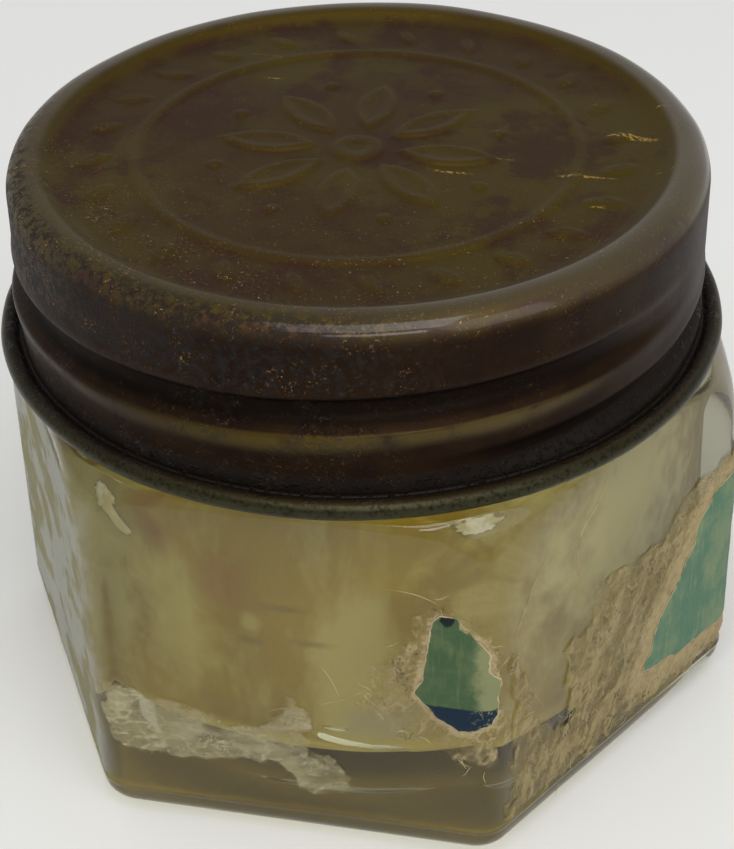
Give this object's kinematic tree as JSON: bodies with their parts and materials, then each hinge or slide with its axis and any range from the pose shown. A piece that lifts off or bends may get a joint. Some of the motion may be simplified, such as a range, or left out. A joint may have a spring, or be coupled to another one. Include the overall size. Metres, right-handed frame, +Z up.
{
  "type": "ointment pot",
  "caption": "Six-sided clear glass ointment pot with a round pressed-metal screw lid, a lined cap, old yellow ointment inside and torn remains of a paper label.",
  "frame": {"origin": "centre of the base, on the surface that the pot stands on", "axes": "+Z up along the axis of the lid and its thread, -Y out of the front flat, +X towards a corner"},
  "size_m": [0.0562, 0.0528, 0.044],
  "materials": {
    "glass": "clear moulded glass with a faint olive tint, slightly wavy",
    "ointment": "old yellow ointment, greasy, mottled with cream and brown",
    "card": "grey-brown pulp board",
    "waxed_paper": "waxed, satin",
    "lid_metal": "dark brown lacquer gone to patina, worn to olive gold on the raised places, satin",
    "label_backing": "torn fibrous paper with dried glue, matt",
    "label_print": "faded teal print with a dark blue band, matt, scuffed"
  },
  "bodies": {
    "jar": {"glass_jar": "glass", "ointment": "ointment", "front_backing": "label_backing", "corner_backing": "label_backing", "corner_scrap": "label_print", "side_backing": "label_backing", "side_scrap": "label_print"},
    "liner": {"liner_card": "card", "liner_facing": "waxed_paper"},
    "lid": {"lid_shell": "lid_metal"}
  },
  "joints": [
    {"name": "lid_lift", "type": "slide", "parent": "jar", "child": "liner", "axis": [0, 0, 1], "range_m": [0, 0.02541]},
    {"name": "lid_turn", "type": "hinge", "parent": "liner", "child": "lid", "pos_m": [0, 0, 0.0419], "axis": [0, 0, 1], "range_deg": [0, 1800]}
  ],
  "couplings": [
    {"joint": "lid_lift", "follows": "lid_turn", "m_per_rad": 0.00080851}
  ]
}
